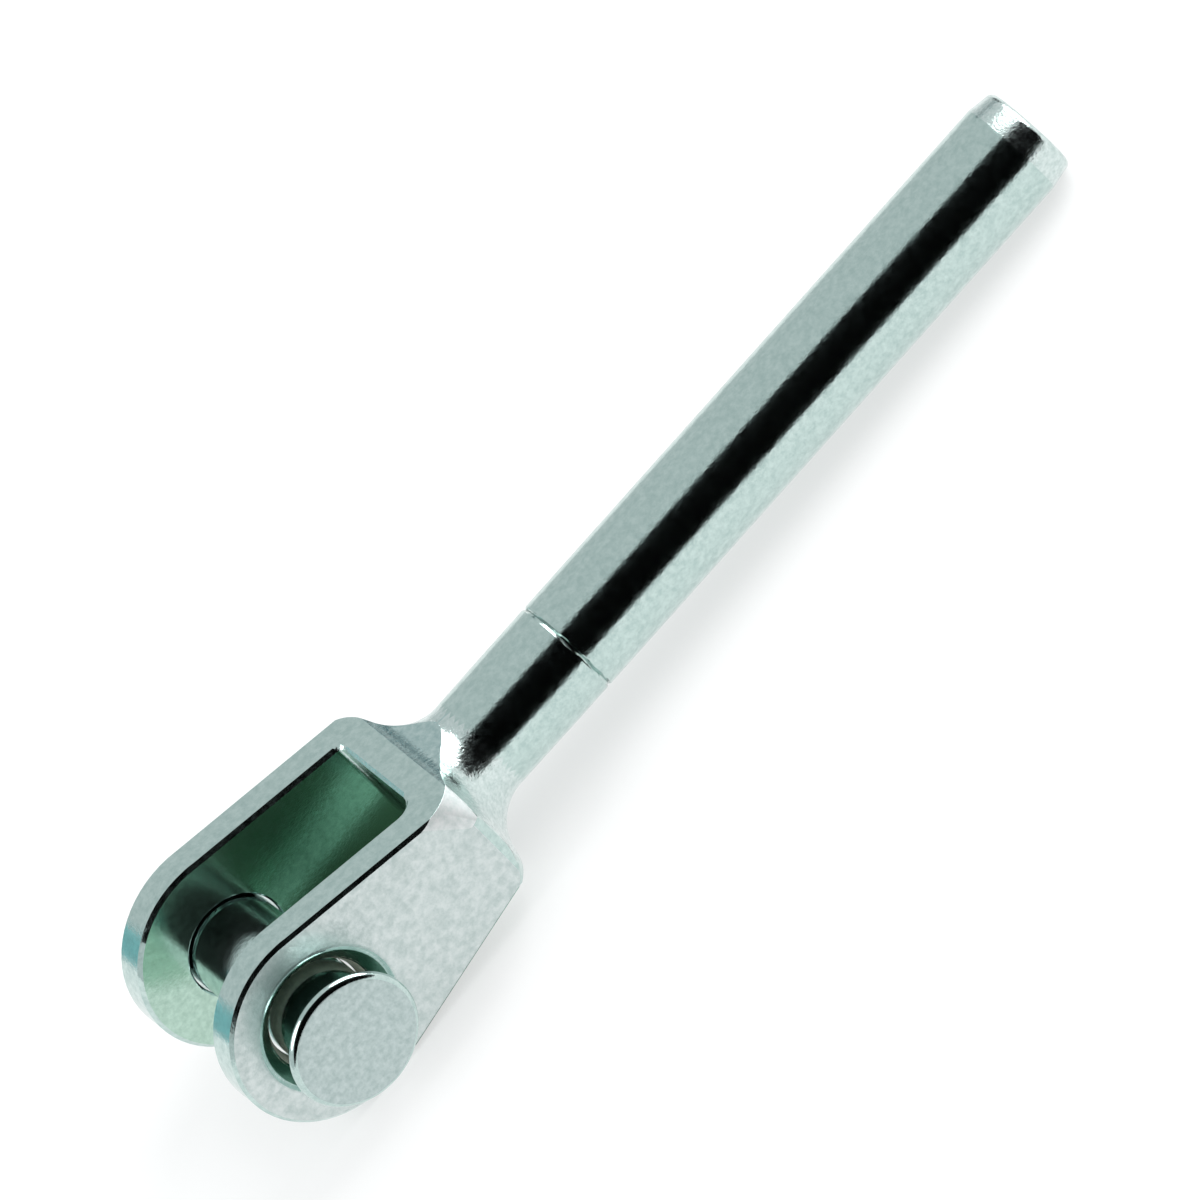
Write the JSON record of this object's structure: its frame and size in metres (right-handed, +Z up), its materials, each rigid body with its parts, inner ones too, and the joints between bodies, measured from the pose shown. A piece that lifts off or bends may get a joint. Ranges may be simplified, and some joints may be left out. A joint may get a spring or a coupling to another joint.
{
  "type": "swage fork terminal",
  "caption": "Swage fork terminal: a long round barrel for wire rope that flares into a slotted fork, with a countersunk clevis pin across its ears kept in by a split pin.",
  "frame": {"origin": "middle of the clevis pin, halfway between the ears", "axes": "+X along the barrel towards the open wire end, Y along the clevis pin with its head towards -Y, +Z up"},
  "size_m": [0.1358, 0.0366, 0.0246],
  "materials": {
    "polished_stainless": "polished",
    "pin_stainless": "polished",
    "wire_stainless": "satin"
  },
  "bodies": {
    "fork": {"fork_body": "polished_stainless"},
    "pin": {"clevis_pin": "pin_stainless", "split_pin": "wire_stainless"}
  },
  "joints": [
    {"name": "pin_turn", "type": "hinge", "parent": "fork", "child": "pin", "pos_m": [0, 0, 0], "axis": [0, 1, 0], "continuous": true}
  ]
}
